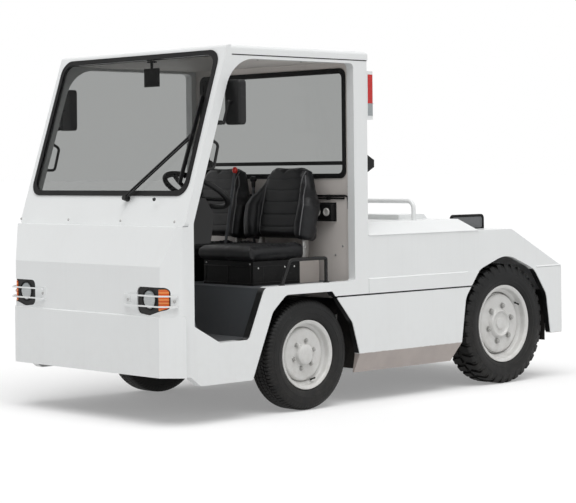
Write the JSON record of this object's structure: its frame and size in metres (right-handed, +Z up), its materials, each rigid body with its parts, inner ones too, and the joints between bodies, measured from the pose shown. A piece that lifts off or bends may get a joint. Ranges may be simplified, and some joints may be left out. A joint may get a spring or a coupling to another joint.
{
  "type": "baggage tow tractor",
  "caption": "Airport baggage tow tractor with an open-sided cab, hinged engine hood, steered front wheels and a stepped drawbar coupling at the tail.",
  "frame": {"origin": "on the ground under the middle of the bounding box", "axes": "+X to the vehicle's left side, +Y to its rear, +Z up; it drives towards -Y"},
  "size_m": [1.62, 3.444, 2.0262],
  "materials": {
    "white_paint": "gloss, slightly aged",
    "beige_paint": "satin",
    "black_paint": "satin",
    "charcoal_paint": "matte",
    "wheel_paint": "satin, dusty",
    "black_vinyl": "matte grained",
    "black_plastic": "matte",
    "black_rubber": "matte",
    "tyre_rubber": "matte, dusty",
    "tinted_glass": "polished",
    "lamp_glass": "polished",
    "bare_steel": "worn",
    "cast_metal": "rough, dusty"
  },
  "bodies": {
    "chassis": {"front_fascia": "white_paint", "front_bumper": "white_paint", "cab_front": "white_paint", "window_seals": "black_rubber", "cab_glass": "tinted_glass", "cab_side_left": "white_paint", "cab_side_right": "white_paint", "roof": "white_paint", "cab_rear_wall": "beige_paint", "floor_pan": "charcoal_paint", "dashboard": "black_plastic", "steering_column": "charcoal_paint", "floor_controls": "charcoal_paint", "seat_base": "charcoal_paint", "driver_cushion": "black_vinyl", "driver_backrest": "black_vinyl", "passenger_cushion": "black_vinyl", "passenger_backrest": "black_vinyl", "hip_hoops": "black_paint", "grab_handles": "black_plastic", "door_mirrors": "black_plastic", "cab_mirror": "black_plastic", "wiper": "black_paint", "headlamps": "black_plastic", "tail_lamps": "white_paint", "lamp_lenses": "lamp_glass", "lamp_guards": "white_paint", "rubber_stops": "black_rubber", "rear_side_left": "white_paint", "rear_side_right": "white_paint", "tail_panel": "white_paint", "rear_deck": "white_paint", "deck_guard": "black_rubber", "hood_hinges": "bare_steel", "rear_plate": "charcoal_paint", "tow_coupling": "black_paint", "coupling_pin": "bare_steel", "chassis_frame": "black_paint", "cross_members": "black_paint", "engine_block": "cast_metal", "mud_flaps": "black_rubber", "front_axle": "cast_metal", "rear_axle": "cast_metal", "leaf_springs": "black_paint"},
    "engine_hood": {"engine_hood": "white_paint", "hood_rail": "white_paint"},
    "steering_wheel": {"steering_wheel": "black_plastic"},
    "knuckle_left": {"knuckle_left": "cast_metal"},
    "knuckle_right": {"knuckle_right": "cast_metal"},
    "tie_rod": {"tie_rod": "bare_steel"},
    "wheel_front_left": {"wheel_front_left": "wheel_paint", "tyre_front_left": "tyre_rubber"},
    "wheel_front_right": {"wheel_front_right": "wheel_paint", "tyre_front_right": "tyre_rubber"},
    "wheel_rear_left": {"wheel_rear_left": "wheel_paint", "tyre_rear_left": "tyre_rubber"},
    "wheel_rear_right": {"wheel_rear_right": "wheel_paint", "tyre_rear_right": "tyre_rubber"}
  },
  "joints": [
    {"name": "steer_left", "type": "hinge", "parent": "chassis", "child": "knuckle_left", "pos_m": [0.56, -0.68, 0.3115], "axis": [0, 0, 1], "range_deg": [-33, 33]},
    {"name": "steer_right", "type": "hinge", "parent": "chassis", "child": "knuckle_right", "pos_m": [-0.56, -0.68, 0.3115], "axis": [0, 0, 1], "range_deg": [-33, 33]},
    {"name": "tie_rod_pivot", "type": "hinge", "parent": "knuckle_left", "child": "tie_rod", "pos_m": [0.56, -0.55, 0.248], "axis": [0, 0, 1], "range_deg": [-33, 33]},
    {"name": "steering_wheel_turn", "type": "hinge", "parent": "chassis", "child": "steering_wheel", "pos_m": [0.3, -1.138, 1.24], "axis": [0, 0.5, 0.866], "range_deg": [-500, 500]},
    {"name": "wheel_front_left_spin", "type": "hinge", "parent": "knuckle_left", "child": "wheel_front_left", "pos_m": [0.708, -0.68, 0.3115], "axis": [1, 0, 0], "continuous": true},
    {"name": "wheel_front_right_spin", "type": "hinge", "parent": "knuckle_right", "child": "wheel_front_right", "pos_m": [-0.708, -0.68, 0.3115], "axis": [1, 0, 0], "continuous": true},
    {"name": "wheel_rear_left_spin", "type": "hinge", "parent": "chassis", "child": "wheel_rear_left", "pos_m": [0.708, 1.036, 0.374], "axis": [1, 0, 0], "continuous": true},
    {"name": "wheel_rear_right_spin", "type": "hinge", "parent": "chassis", "child": "wheel_rear_right", "pos_m": [-0.708, 1.036, 0.374], "axis": [1, 0, 0], "continuous": true},
    {"name": "engine_hood_hinge", "type": "hinge", "parent": "chassis", "child": "engine_hood", "pos_m": [0, -0.196, 1.053], "axis": [1, 0, 0], "range_deg": [0, 74]}
  ],
  "couplings": [
    {"joint": "steer_right", "follows": "steer_left", "ratio": 1},
    {"joint": "tie_rod_pivot", "follows": "steer_left", "ratio": -1},
    {"joint": "steering_wheel_turn", "follows": "steer_left", "ratio": 15}
  ]
}
